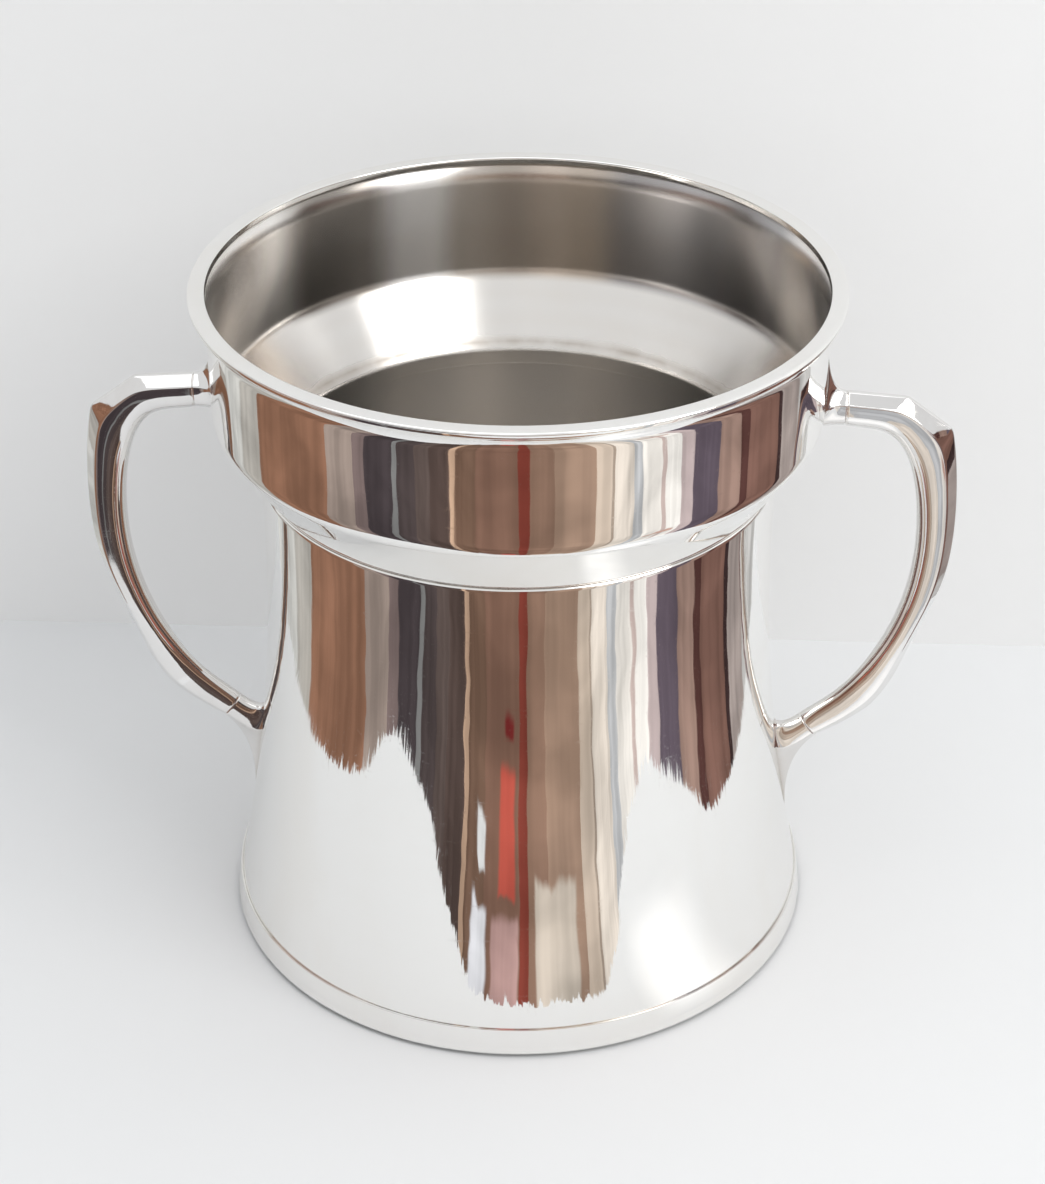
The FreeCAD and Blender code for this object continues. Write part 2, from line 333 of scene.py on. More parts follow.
def withPaintedReflection(tree, place, colour, paintedReflection, above):
    # painted reflection: soft upright stripes, lighter and darker, multiplied into the metal's colour round the axis,
    # above a height, each from its degrees round from the back towards +X; they stand in for the room reflected in
    # the spun wall
    apart = tree.nodes.new("ShaderNodeSeparateXYZ")
    tree.links.new(place, apart.inputs[0])
    angle = mathNode(tree, "ARCTAN2", apart.outputs[0], apart.outputs[1])
    wander = noiseNode(tree, stretched(tree, place, (1, 1, 0.3)), 40.0, 2.0)
    angle = mathNode(tree, "MULTIPLY_ADD", mathNode(tree, "SUBTRACT", wander, 0.5), 0.10, angle)
    turn = mathNode(tree, "MULTIPLY_ADD", angle, 0.5 / np.pi, 0.5)
    paintedTones = bandedRamp(tree, turn, paintedReflection, "EASE", 360)
    soft = 1.5                                       # the stripes fade out over twice this height
    mix = tree.nodes.new("ShaderNodeMix")
    mix.data_type, mix.blend_type = "RGBA", "MULTIPLY"
    shown = remapped(tree, apart.outputs[2], (above - soft) * mm, (above + soft) * mm)
    tree.links.new(shown, mix.inputs["Factor"])
    tree.links.new(colour, mix.inputs[6])
    tree.links.new(paintedTones, mix.inputs[7])
    return mix.outputs[2]


def makeSilver(name, look):
    # mirror metal: cloth smudges, lathe rings, seam grime and edge wear in its colour and roughness, and where the
    # look has one a painted reflection of upright stripes in its colour, sheet waviness, rings and scratches in its
    # bump
    material = bpy.data.materials.new(name)
    material.use_nodes = True
    tree = material.node_tree
    shader = tree.nodes["Principled BSDF"]
    place = tree.nodes.new("ShaderNodeTexCoord").outputs["Object"]
    geometry = tree.nodes.new("ShaderNodeNewGeometry")
    smudges = placed(tree, clothSmudges, place, Clouds_per_metre=look["clouds"]).outputs["Mask"]
    scratches = placed(tree, hairlines, place, Fineness=look["scratchFineness"],
                       Cover=look["scratchCover"]).outputs["Mask"]
    rings = placed(tree, spunRings, place, Rings_per_metre=look["rings"])
    wave = placed(tree, waviness, place, Swells_per_metre=look["swells"], Ripples_per_metre=look["ripples"],
                  Ripple_share=look["rippleShare"]).outputs["Height"]
    wearNode = placed(tree, edgeWear, place, Amount=look["wear"])
    tree.links.new(geometry.outputs["Pointiness"], wearNode.inputs["Curvature"])
    wear = wearNode.outputs["Mask"]
    grime = None
    for level, reach in look["seams"]:
        mask = placed(tree, seamGrime, place, Level=level * mm, Reach=reach * mm).outputs["Mask"]
        grime = mask if grime is None else mathNode(tree, "MAXIMUM", grime, mask)
    if look["wallSeam"]:
        nearWall = tree.nodes.new("ShaderNodeAttribute")
        nearWall.attribute_name = "nearWall"
        seamShare = look["wallSeam"] / look["grimeTint"]
        grime = mathNode(tree, "MULTIPLY", nearWall.outputs["Fac"], seamShare)
    dull = mathNode(tree, "MULTIPLY", smudges, look["smudgeTint"])
    colour = mixedColour(tree, dull, look["silver"], look["warm"])
    ringed = mathNode(tree, "MULTIPLY", rings.outputs["Broad"], look["ringTint"])
    colour = mixedColour(tree, ringed, colour, look["warm"])
    if grime is not None:
        stained = mathNode(tree, "MULTIPLY", grime, look["grimeTint"])
        colour = mixedColour(tree, stained, colour, look["tarnish"])
    colour = mixedColour(tree, wear, colour, look["bright"])
    # painted reflection: lighter and darker upright stripes multiplied into the colour, for the room seen in the spun
    # inside wall
    if look["paintedReflection"]:
        colour = withPaintedReflection(tree, place, colour, look["paintedReflection"], look["paintedReflectionAbove"])
    tree.links.new(colour, shader.inputs["Base Color"])
    rough = mathNode(tree, "MULTIPLY_ADD", smudges, look["smudgeRough"], look["rough"])
    rough = mathNode(tree, "MULTIPLY_ADD", scratches, look["scratchRough"], rough)
    rough = mathNode(tree, "MULTIPLY_ADD", wear, look["wearRough"], rough)
    if grime is not None:
        rough = mathNode(tree, "MULTIPLY_ADD", grime, look["grimeRough"], rough)
    tree.links.new(rough, shader.inputs["Roughness"])
    shader.inputs["Metallic"].default_value = 1.0
    if look["spun"]:
        shader.inputs["Anisotropic"].default_value = look["spun"]
        shader.inputs["Anisotropic Rotation"].default_value = 0.25     # across the lathe lines
        around = tree.nodes.new("ShaderNodeTangent")
        around.direction_type, around.axis = "RADIAL", "Z"
        tree.links.new(around.outputs[0], shader.inputs["Tangent"])
    height = mathNode(tree, "MULTIPLY", wave, look["waveHeight"])
    height = mathNode(tree, "MULTIPLY_ADD", rings.outputs["Height"], look["ringHeight"], height)
    height = mathNode(tree, "MULTIPLY_ADD", scratches, -look["scratchDepth"], height)
    bump = tree.nodes.new("ShaderNodeBump")
    bump.inputs["Strength"].default_value = 1.0
    bump.inputs["Distance"].default_value = mm       # heights below are in millimetres
    tree.links.new(height, bump.inputs["Height"])
    tree.links.new(bump.outputs["Normal"], shader.inputs["Normal"])
    return material


plateColours = {"silver": (0.93, 0.925, 0.91), "warm": (0.88, 0.85, 0.80), "tarnish": (0.34, 0.27, 0.20),
                "bright": (0.98, 0.975, 0.96)}

# heights are millimetres; a seam is (its height, how far the grime reaches)
outsideLook = {**plateColours, "clouds": 26.0, "scratchFineness": 900.0, "scratchCover": 0.5, "rings": 700.0,
               "swells": 20.0, "ripples": 65.0, "rippleShare": 1.0, "wear": 0.5, "smudgeTint": 0.35,
               "ringTint": 0.12, "grimeTint": 0.5, "smudgeRough": 0.035, "rough": 0.025, "scratchRough": 0.10,
               "wearRough": 0.05, "grimeRough": 0.22, "waveHeight": 0.17, "ringHeight": 0.0006,
               "scratchDepth": 0.0003, "spun": 0.0, "paintedReflection": None, "wallSeam": 0.0}

bowlTop = highOf("body_shell")[2]
footTop = highOf("foot_ring")[2]
lipUnder = lowOf("lip_ring")[2]
bodyLook = {**outsideLook, "seams": [(bowlTop, 1.0)], "grimeTint": 0.35}
collarLook = {**outsideLook, "seams": [(lipUnder, 1.5), (bowlTop, 1.2)]}
lipLook = {**outsideLook, "seams": [(lipUnder, 0.7)], "rough": 0.05, "waveHeight": 0.05, "ringHeight": 0.001}
footLook = {**outsideLook, "seams": [(0.0, 1.6)], "grimeTint": 0.3, "rough": 0.04, "waveHeight": 0.06}
castLook = {**outsideLook, "silver": (0.84, 0.83, 0.82), "warm": (0.72, 0.69, 0.66), "bright": (0.95, 0.945, 0.94),
            "seams": [], "clouds": 60.0, "swells": 60.0, "ripples": 160.0, "waveHeight": 0.05, "rough": 0.035,
            "ringHeight": 0.0, "wear": 0.8, "ringTint": 0.0}
rootLook = {**castLook, "waveHeight": 0.03, "wallSeam": 0.85}

# painted reflection inside the collar, upright stripes standing in for the room seen in the spun wall: degrees from
# the back towards +X, and what the metal's colour is multiplied by
insidePaintedReflections = [(-180, (1.0, 1.0, 1.0)), (-78, (1.15, 1.15, 1.14)), (-62, (1.1, 1.1, 1.1)),
                 (-50, (0.42, 0.40, 0.38)), (-36, (0.50, 0.48, 0.46)), (-28, (1.12, 1.15, 1.2)),
                 (-21, (1.15, 1.18, 1.22)), (-14, (0.72, 0.69, 0.66)), (-5, (0.62, 0.57, 0.52)),
                 (3, (0.85, 0.76, 0.68)), (10, (0.74, 0.66, 0.58)), (20, (0.50, 0.49, 0.50)),
                 (34, (0.62, 0.62, 0.64)), (48, (0.40, 0.39, 0.40)), (58, (0.55, 0.55, 0.57)),
                 (68, (1.15, 1.15, 1.16)), (100, (1.0, 1.0, 1.0))]
insideLook = {**outsideLook, "silver": (0.86, 0.845, 0.825), "warm": (0.74, 0.68, 0.61), "rough": 0.23,
              "smudgeRough": 0.04, "ringHeight": 0.002, "rings": 1500.0, "waveHeight": 0.04, "ringTint": 0.4,
              "smudgeTint": 0.15, "seams": [(lipUnder, 2.0), (bowlTop, 3.0)], "scratchCover": 0.02,
              "scratchRough": 0.05, "scratchDepth": 0.0, "spun": 0.8, "paintedReflection": insidePaintedReflections, "paintedReflectionAbove": 178.0}
bottomLook = {**insideLook, "paintedReflection": None, "rough": 0.27, "smudgeTint": 0.1, "clouds": 15.0,
              "seams": [(highOf("base_plate")[2], 1.5)], "ringHeight": 0.006}

bodySilver = makeSilver("bodyPolish", bodyLook)
collarSilver = makeSilver("collarPolish", collarLook)
lipSilver = makeSilver("lipPolish", lipLook)
footSilver = makeSilver("footPolish", footLook)
castSilver = makeSilver("handlePolish", castLook)
rootSilver = makeSilver("rootPolish", rootLook)
insideSilver = makeSilver("insideSatin", insideLook)
bottomSilver = makeSilver("bottomSatin", bottomLook)
print("silver finishes ready")


# bowl

lipValues = {"width": 5.2, "edge": 0.9, "innerEdge": 0.6, "lowEdge": 0.15, "step": 0.5}
lipTop, lipOut = highOf("lip_ring")[2], highOf("lip_ring")[0]
lipIn = lipOut - lipValues["width"]
lipProfile = roundedLine([
    (lipIn, lipUnder, lipValues["lowEdge"]), (lipOut, lipUnder, lipValues["edge"]),
    (lipOut, lipTop, lipValues["edge"]), (lipIn, lipTop, lipValues["innerEdge"])], lipValues["step"])
turned("lip", lipProfile, [lipSilver], nodes=["lip_ring"], slot="polished_silver")

collarValues = {"coveDepth": 3.4, "coveHeight": 6.2, "sheet": 1.6, "stepWidth": 13.2, "slope": 55.0,
                "stepTurn": 7.0, "neckTurn": 1.2, "skirtEdge": 0.3, "step": 1.0}


def covePoints(depth):
    # hollow under the lip, an arc down to the collar's wall: r = centre - sqrt((radius + depth)^2 - (z - foot)^2)
    across, down = collarValues["coveDepth"], collarValues["coveHeight"]
    radius = (across ** 2 + down ** 2) / (2 * across)
    z = np.linspace(lipUnder, coveFoot, 14)
    r = collarOut + radius - np.sqrt((radius + depth) ** 2 - (z - coveFoot) ** 2)
    return np.stack([r, z, 0 * z], 1)


coveTop = highOf("collar")[0]
collarOut = coveTop - collarValues["coveDepth"]
coveFoot = lipUnder - collarValues["coveHeight"]
neckOut = collarOut - collarValues["stepWidth"]
slope = np.radians(collarValues["slope"])
stepTop = bowlTop + collarValues["stepWidth"] * np.tan(slope)
sheet = collarValues["sheet"]
sheetShift = sheet * np.tan((np.pi / 2 - slope) / 2)
skirtLow = lowOf("collar")[2]

bodyValues = {"flare": 13.2, "bow": 4.8, "sheet": 1.6, "gap": 0.05, "rows": 84, "step": 2.2}
bodyLow = lowOf("body_shell")[2]
footRadiusTop = neckOut + bodyValues["flare"]
run = bowlTop - footTop
chord = np.hypot(run, bodyValues["flare"])
sideRadius = ((chord / 2) ** 2 + bodyValues["bow"] ** 2) / (2 * bodyValues["bow"])
sideReach = sideRadius - bodyValues["bow"]
sideR = (neckOut + footRadiusTop) / 2 + sideReach * run / chord
sideZ = (bowlTop + footTop) / 2 + sideReach * bodyValues["flare"] / chord


def bodyRadius(z, depth=0.0):
    # the side is an arc about a centre far outside: r = centreR - sqrt((radius + depth)^2 - (z - centreZ)^2)
    return sideR - np.sqrt((sideRadius + depth) ** 2 - (z - sideZ) ** 2)


skirt = min(bodyRadius(bowlTop, sheet), bodyRadius(skirtLow, sheet)) - bodyValues["gap"]
skirtTop = bowlTop - (neckOut - skirt) * np.tan(slope)
collarOutside = np.concatenate([covePoints(0.0), [
    (collarOut, stepTop, collarValues["stepTurn"]), (skirt, skirtTop, collarValues["neckTurn"]),
    (skirt, skirtLow, collarValues["skirtEdge"])]])
collarInside = np.concatenate([[
    (skirt - sheet, skirtLow, collarValues["skirtEdge"]),
    (skirt - sheet, skirtTop + sheetShift, collarValues["neckTurn"] + sheet),
    (collarOut - sheet, stepTop + sheetShift, collarValues["stepTurn"] - sheet)], covePoints(sheet)[::-1]])
collarProfile = roundedLine(np.concatenate([collarOutside, collarInside]), collarValues["step"])
turned("collar", collarProfile, [collarSilver, insideSilver], 1, nodes=["collar"], slot="polished_silver")

innerNeck = bodyRadius(bowlTop, bodyValues["sheet"])
innerNeckTop = bowlTop - (neckOut - innerNeck) * np.tan(slope)
sideHeights = np.linspace(bowlTop, bodyLow, bodyValues["rows"])
sideOutside = np.stack([bodyRadius(sideHeights), sideHeights, 0 * sideHeights], 1)
innerHeights = np.linspace(bodyLow, innerNeckTop, bodyValues["rows"])
sideInside = np.stack([bodyRadius(innerHeights, bodyValues["sheet"]), innerHeights, 0 * innerHeights], 1)
bodyProfile = roundedLine(np.concatenate([sideOutside, sideInside]), bodyValues["step"])
turned("body", bodyProfile, [bodySilver, insideSilver], 1, nodes=["body_shell"], slot="polished_silver")

footValues = {"topWall": 0.7, "edge": 4.2, "land": 7.0, "seat": 1.5, "topEdge": 0.25, "landEdge": 0.4,
              "seatEdge": 0.2, "clear": 0.02, "step": 0.5}
footOut = highOf("foot_ring")[0]
footIn = footOut - footValues["land"]
clear = footValues["clear"]
footProfile = roundedLine([
    (footIn, 0, footValues["landEdge"]), (footOut, 0, footValues["edge"]),
    (footRadiusTop + footValues["topWall"], footTop, footValues["topEdge"]), (footRadiusTop + clear, footTop, 0),
    (bodyRadius(footTop / 2) + clear, footTop / 2, 0),
    (bodyRadius(footValues["seat"]) + clear, footValues["seat"], 0),
    (footIn, footValues["seat"], footValues["seatEdge"])], footValues["step"])
turned("footRing", footProfile, [footSilver], nodes=["foot_ring"], slot="polished_silver")

bottomValues = {"sheet": 1.6, "rise": 4.4, "turnDown": 1.4, "innerTurn": 0.8, "rimEdge": 0.2, "step": 1.5}
bottomUnder = bottomValues["rise"]
bottomTop = bottomUnder + bottomValues["sheet"]
outerDepth = bodyValues["sheet"] + bodyValues["gap"]      # of the turned-down edge, in from the body's outside
innerDepth = outerDepth + bottomValues["sheet"]
bottomEdge = bodyRadius(bottomTop, outerDepth)
loop = roundedLine([
    (-bottomEdge, bottomUnder, 0), (0, bottomUnder, 0),
    (bodyRadius(bottomUnder, innerDepth), bottomUnder, bottomValues["innerTurn"]),
    (bodyRadius(bodyLow, innerDepth), bodyLow, bottomValues["rimEdge"]),
    (bodyRadius(bodyLow, outerDepth), bodyLow, bottomValues["rimEdge"]),
    (bottomEdge, bottomTop, bottomValues["turnDown"]), (0, bottomTop, 0), (-bottomEdge, bottomTop, 0)],
    bottomValues["step"])
half = loop[loop[:, 0] > -1e-9]                           # both sides were drawn, and one is turned
turnedDisc("bottomPlate", half, [bottomSilver], nodes=["base_plate"], slot="satin_silver")
print("bowl made: lip, collar, body, foot ring, bottom")


# handles

barValues = {
    # outer edge: arm, chamfer and grip with crisp corners between; points (x, z)
    "arm": [(98.4, 184.8), (107.5, 184.2), (117.0, 183.4)],
    "chamfer": [(117.0, 183.4), (124.0, 178.3), (131.0, 173.0)],
    "grip": [(131.0, 173.0), (133.5, 156.0), (134.55, 138.0), (133.3, 126.0), (131.2, 116.0), (128.3, 107.0),
             (124.8, 98.0), (120.7, 86.5), (116.5, 76.0)],
    "heel": [(116.5, 76.0), (111.5, 70.6), (104.8, 65.5), (97.0, 60.5)],
    # inner edge, one smooth line from the upper joint to the lower one
    "inner": [(98.4, 173.8), (106.0, 173.3), (112.2, 170.4), (116.5, 165.6), (119.4, 159.4), (121.9, 149.6),
              (122.9, 138.4), (122.5, 127.8), (121.2, 118.2), (119.1, 108.8), (116.0, 99.4), (111.8, 90.4),
              (106.9, 82.9), (102.1, 77.4), (96.8, 72.3), (91.0, 67.5)],
    "stations": [0, 1, 2, 4, 6, 8, 10, 11, 12, 13, 15],
    "widths": [9.0, 9.0, 9.2, 10.2, 10.4, 10.0, 8.8, 7.8, 7.0, 6.9, 7.4],
    "outerEdge": 0.17, "ridge": 0.26, "cut": 0.55, "fullness": 0.84,
    "corners": [(2.0, 0.13), (4.0, 0.13), (12.0, 0.9)],
    "flatCuts": [0.08, 0.3, 0.5, 0.7, 0.92], "roundFrom": 0.17,
    "upperInset": 0.2, "lowerInset": 0.08,        # groove where the bar meets its roots
}


def smoothThrough(points, t, degree):
    # least-squares curve of the given degree through points at 0, 1, 2 ..., ends kept by weight
    points = np.array(points, float)
    s = np.arange(len(points))
    weight = np.where((s == 0) | (s == len(points) - 1), 40.0, 1.0)
    return np.stack([np.polyval(np.polyfit(s, points[:, k], degree, w=weight), t) for k in (0, 1)], -1)


def outerEdge(t):
    # arm, chamfer, grip and heel one after another, t counted in stations 0 to 15
    edge = smoothThrough(barValues["arm"], t, 1)
    edge = np.where(t[:, None] > 2, smoothThrough(barValues["chamfer"], t - 2, 1), edge)
    edge = np.where(t[:, None] > 4, smoothThrough(barValues["grip"], t - 4, 5), edge)
    return np.where(t[:, None] > 12, smoothThrough(barValues["heel"], t - 12, 2), edge)


def softenedEdge(t):
    # each corner of the outer edge rounded: within soft of it, the quadratic curve pulled towards the corner
    edge = outerEdge(t)
    for corner, soft in barValues["corners"]:
        a, p, b = outerEdge(np.array([corner - soft, corner, corner + soft]))
        w = np.clip((t - corner + soft) / (2 * soft), 0, 1)[:, None]
        bent = (1 - w) ** 2 * a + 2 * w * (1 - w) * p + w ** 2 * b
        edge = np.where(np.abs(t - corner)[:, None] < soft, bent, edge)
    return edge


def barRing(outer, ridge, inner, width):
    # section through points (x, z) on the outer edge, the side ridges and the inner edge: a flat outer edge,
    # two flat bevels out to the ridges, then a full round, ridge + (inner - ridge) sin(a)^q with half width cos(a)^q;
    # corners are cut back and rounded, (1-w)^2 A + 2w(1-w) C + w^2 B
    # gives the points (n, ring, 3) and each one's share of the depth
    def at(point, across):
        return np.stack([point[:, 0], across, point[:, 1]], 1)
    w, cut = width / 2, barValues["cut"]
    flat = w * barValues["outerEdge"]
    corner = np.stack([at(ridge, w), at(outer, flat), at(outer, -flat), at(ridge, -w)], 1)
    deeper = at(2 * inner - ridge, w)[:, None], at(2 * inner - ridge, -w)[:, None]
    toBefore = np.concatenate([deeper[0], corner[:, :-1]], 1) - corner
    toAfter = np.concatenate([corner[:, 1:], deeper[1]], 1) - corner
    a = corner + toBefore / np.linalg.norm(toBefore, axis=-1, keepdims=True) * cut
    b = corner + toAfter / np.linalg.norm(toAfter, axis=-1, keepdims=True) * cut
    s = np.linspace(0, 1, 6)[None, None, :, None]
    bends = (1 - s) ** 2 * a[:, :, None] + 2 * s * (1 - s) * corner[:, :, None] + s ** 2 * b[:, :, None]
    f = np.array(barValues["flatCuts"])[None, None, :, None]
    runs = b[:, :-1, None] * (1 - f) + a[:, 1:, None] * f
    angle = np.linspace(barValues["roundFrom"], np.pi - barValues["roundFrom"], 26)[None, :, None]
    deep = np.sin(angle) ** barValues["fullness"]
    beside = -np.sign(np.cos(angle)) * np.abs(np.cos(angle)) ** barValues["fullness"]
    middle = at(ridge, 0 * w)[:, None]
    rounded = middle + (at(inner, 0 * w)[:, None] - middle) * deep + at(0 * ridge, w)[:, None] * beside
    ring = np.concatenate([bends[:, 0], runs[:, 0], bends[:, 1], runs[:, 1], bends[:, 2], runs[:, 2],
                           bends[:, 3], rounded], 1)
    way = inner - outer
    along = (ring[..., 0] - outer[:, :1]) * way[:, :1] + (ring[..., 2] - outer[:, 1:]) * way[:, 1:]
    return ring, along / (way ** 2).sum(1)[:, None]


def shrunk(ring, inset):
    # a ring drawn in towards its middle by inset
    middle = ring.mean(-2, keepdims=True)
    away = ring - middle
    return middle + away * (1 - inset / np.linalg.norm(away, axis=-1, keepdims=True))


def tube(name, rings, side, material, nodes, againstBar=False):
    # rings (n, ring, 3) joined into a closed skin, each end a fan to its middle; side -1 turns it half a turn;
    # againstBar is for rings that run back from the bar's upper end, so that every skin faces outwards
    points = rings.reshape(-1, 3) * np.array([side, side, 1])
    n, k = rings.shape[:2]
    ends = np.stack([rings[0].mean(0), rings[-1].mean(0)]) * np.array([side, side, 1])
    j = np.arange(k)
    one, other = (j, (j + 1) % k) if againstBar else ((j + 1) % k, j)
    faces = quadGrid(n, k, False, True)[:, [3, 2, 1, 0] if againstBar else [3, 0, 1, 2]]
    first = np.stack([j * 0 + n * k, one, other], -1)
    final = np.stack([j * 0 + n * k + 1, (n - 1) * k + other, (n - 1) * k + one], -1)
    points = np.concatenate([points, ends])
    faces = faces.tolist() + first.tolist() + final.tolist()
    return makePiece(name, points, faces, [material], nodes=nodes, slot="polished_silver")


fine = np.concatenate([np.linspace(-1, 1, 9) * soft * 1.15 + corner for corner, soft in barValues["corners"]])
t = np.unique(np.concatenate([np.linspace(0, 15, 15 * 9 + 1), fine, [0.04, 14.96]]))
outer = softenedEdge(t)
inner = smoothThrough(barValues["inner"], t, 7)
# widths and side ridges are eased along the bar by a bell-shaped running mean one station either way
even = np.linspace(-1.5, 16.5, 18 * 60 + 1)
bell = np.hanning(2 * 60 + 1)[1:-1]
inRange = np.clip(even, 0, 15)[:, None]
startWay, endWay = outerEdge(np.array([0.0, 0.01])), outerEdge(np.array([14.99, 15.0]))
slopes = np.where(even[:, None] < 0, startWay[1] - startWay[0], endWay[1] - endWay[0]) / 0.01
straightOn = outerEdge(inRange[:, 0]) + (even[:, None] - inRange) * slopes
plainWidth = np.interp(even, barValues["stations"], barValues["widths"])[:, None]
kinked = np.concatenate([straightOn, plainWidth], 1)
padding = len(bell) // 2
eased = np.stack([np.convolve(np.pad(k, padding, mode="edge"), bell / bell.sum(), mode="valid")
                  for k in kinked.T], 1)
ridge = np.stack([np.interp(t, even, eased[:, k]) for k in (0, 1)], 1)
ridge = inner + (1 - barValues["ridge"]) * (ridge - inner)
width = np.interp(t, even, eased[:, 2])
bar, share = barRing(outer, ridge, inner, width)
bar[0], bar[-1] = shrunk(bar[0], barValues["upperInset"]), shrunk(bar[-1], barValues["lowerInset"])

# heights on the wall and half widths of the leaf that each root opens into; way is (x, z) from the joint
rootValues = {
    "upper": {"middle": 180.0, "outerTip": 205.0, "innerTip": 169.2, "half": 8.6, "innerTipHalf": 0.35,
              "way": (-1.0, 0.0)},
    "lower": {"middle": 58.5, "outerTip": 26.0, "innerTip": 66.5, "half": 5.2, "innerTipHalf": 1.6,
              "way": (-0.76, -0.65)},
    "tipHalf": 0.35, "waist": 0.3, "sink": 0.35, "steps": 40, "curve": 1.9, "seamPower": 5,
}


def collarRadiusAt(z):
    # outside of the collar read off its own profile
    outside = roundedLine(collarOutside, 0.5)
    outside = outside[: np.argmin(outside[:, 1])]
    return np.interp(z, outside[::-1, 1], outside[::-1, 0])


def flaredRoot(joint, way, wall, leafY, leafZ):
    # each point of the joint's ring runs on to the wall and bends along it to its place on the leaf:
    # (1-s)^2 J + 2s(1-s) K + s^2 W, with K where the ring, carried straight on, meets the wall
    reach = (wall(joint[:, 2]) - joint[:, 0]) / way[0]
    for _ in range(6):
        z = joint[:, 2] + way[1] * reach
        reach = (np.sqrt(wall(z) ** 2 - joint[:, 1] ** 2) - joint[:, 0]) / way[0]
    knee = joint + np.stack([way[0] * reach, 0 * reach, way[1] * reach], 1)
    sunk = wall(leafZ) - rootValues["sink"]
    end = np.stack([np.sqrt(sunk ** 2 - leafY ** 2), leafY, leafZ], 1)
    s = np.linspace(0, 1, rootValues["steps"])[:, None, None]
    return (1 - s) ** 2 * joint + 2 * s * (1 - s) * knee + s ** 2 * end


def leafPlaces(joint, share, leaf):
    # outline of the root on the wall: widest beside the ridges, drawn out in hollow curves (1-s)^curve to its tips
    middle, widest, innerTipHalf = leaf["middle"], leaf["half"], leaf["innerTipHalf"]
    ridge, tipHalf, curve = barValues["ridge"], rootValues["tipHalf"], rootValues["curve"]
    towardsOuter = np.clip((ridge - share) / ridge, 0, 1)
    towardsInner = np.clip((share - ridge) / (1 - ridge), 0, 1)
    barHalf = np.abs(joint[:, 1]).max()
    flatHalf = barHalf * (1 - towardsOuter * (1 - barValues["outerEdge"]))
    fullWidth = np.where(towardsInner > 0, rootValues["waist"] * barHalf, flatHalf)
    across = np.clip(joint[:, 1] / fullWidth, -1, 1)
    outerHalf = tipHalf + (widest - tipHalf) * (1 - towardsOuter) ** curve
    innerHalf = innerTipHalf + (widest - innerTipHalf) * (1 - towardsInner) ** curve
    half = np.where(towardsInner > 0, innerHalf, outerHalf)
    z = middle + (leaf["outerTip"] - middle) * towardsOuter + (leaf["innerTip"] - middle) * towardsInner
    return across * half, z


def makeRoot(name, side, station, wall, which, node):
    # the nearWall attribute runs from 0 at the joint to 1 on the wall, for the dark line of its seam
    leaf = rootValues[which]
    joint = barRing(*[line[station][None] for line in (outer, ridge, inner, width)])[0][0]
    y, z = leafPlaces(joint, share[station], leaf)
    rings = flaredRoot(joint, leaf["way"], wall, y, z)
    edge = shrunk(rings[0], barValues[which + "Inset"])[None]
    rings = np.concatenate([edge, rings[0][None] + (rings[1:2] - rings[:1]) * 0.5, rings[1:]])
    root = tube(name, rings, side, rootSilver, [node], againstBar=which == "upper")
    along = np.concatenate([[0, 0], np.linspace(0, 1, rootValues["steps"])[1:]])
    shade = np.concatenate([np.repeat(along ** rootValues["seamPower"], rings.shape[1]), [0, 1]])
    nearWall = root.data.attributes.new("nearWall", "FLOAT", "POINT")
    nearWall.data.foreach_set("value", shade.astype(np.float32))


def makeHandle(word, side):
    tube(word + "Handle", bar, side, castSilver, [f"{word}_handle_bar"])
    makeRoot(word + "UpperRoot", side, 0, collarRadiusAt, "upper", f"{word}_upper_root")
    makeRoot(word + "LowerRoot", side, -1, bodyRadius, "lower", f"{word}_lower_root")


makeHandle("right", 1)
makeHandle("left", -1)
print("handles made")


# floor, wall and what the silver sees

# the wall runs through two points (x, y) and on past them
stageValues = {"wallLeft": (-212.0, 144.6), "wallRight": (193.0, 150.4), "wallReach": 1500.0,
               "wallHeight": 1400.0, "floorReach": 2600.0, "floor": (0.80, 0.81, 0.82),
               "wall": (0.885, 0.885, 0.885), "clouding": 0.985, "rough": 0.75}


def paleMaterial(name, colour, seenFromBehind):
    material = bpy.data.materials.new(name)
    material.use_nodes = True
    tree = material.node_tree
    shader = tree.nodes["Principled BSDF"]
    place = tree.nodes.new("ShaderNodeTexCoord").outputs["Object"]
    cloud = noiseNode(tree, place, 6.0, 3.0)
    darker = tuple(c * stageValues["clouding"] for c in colour)
    tree.links.new(mixedColour(tree, cloud, colour, darker), shader.inputs["Base Color"])
    shader.inputs["Roughness"].default_value = stageValues["rough"]
    shader.inputs["Specular IOR Level"].default_value = 0.0
    if not seenFromBehind:
        geometry = tree.nodes.new("ShaderNodeNewGeometry")
        front = mathNode(tree, "SUBTRACT", 1.0, geometry.outputs["Backfacing"])
        tree.links.new(front, shader.inputs["Alpha"])
    return material


def stagePiece(name, points, faces, material):
    mesh = bpy.data.meshes.new(name)
    mesh.from_pydata((np.asarray(points, float) * mm).tolist(), [], faces)
    mesh.materials.append(material)
    thing = bpy.data.objects.new(name, mesh)
    bpy.context.scene.collection.objects.link(thing)
    return thing


reach = stageValues["floorReach"]
floorCorners = [(-reach, -reach, 0), (reach, -reach, 0), (reach, reach, 0), (-reach, reach, 0)]
stagePiece("floor", floorCorners, [(0, 1, 2, 3)], paleMaterial("paleFloor", stageValues["floor"], True))
wallA, wallB = np.array(stageValues["wallLeft"]), np.array(stageValues["wallRight"])
wallWay = (wallB - wallA) / np.hypot(*(wallB - wallA))
wallEnds = [wallA - wallWay * stageValues["wallReach"], wallB + wallWay * stageValues["wallReach"]]
wallTop = stageValues["wallHeight"]
wallCorners = [(*wallEnds[0], 0), (*wallEnds[1], 0), (*wallEnds[1], wallTop), (*wallEnds[0], wallTop)]
stagePiece("wall", wallCorners, [(0, 1, 2, 3)], paleMaterial("paleWall", stageValues["wall"], False))

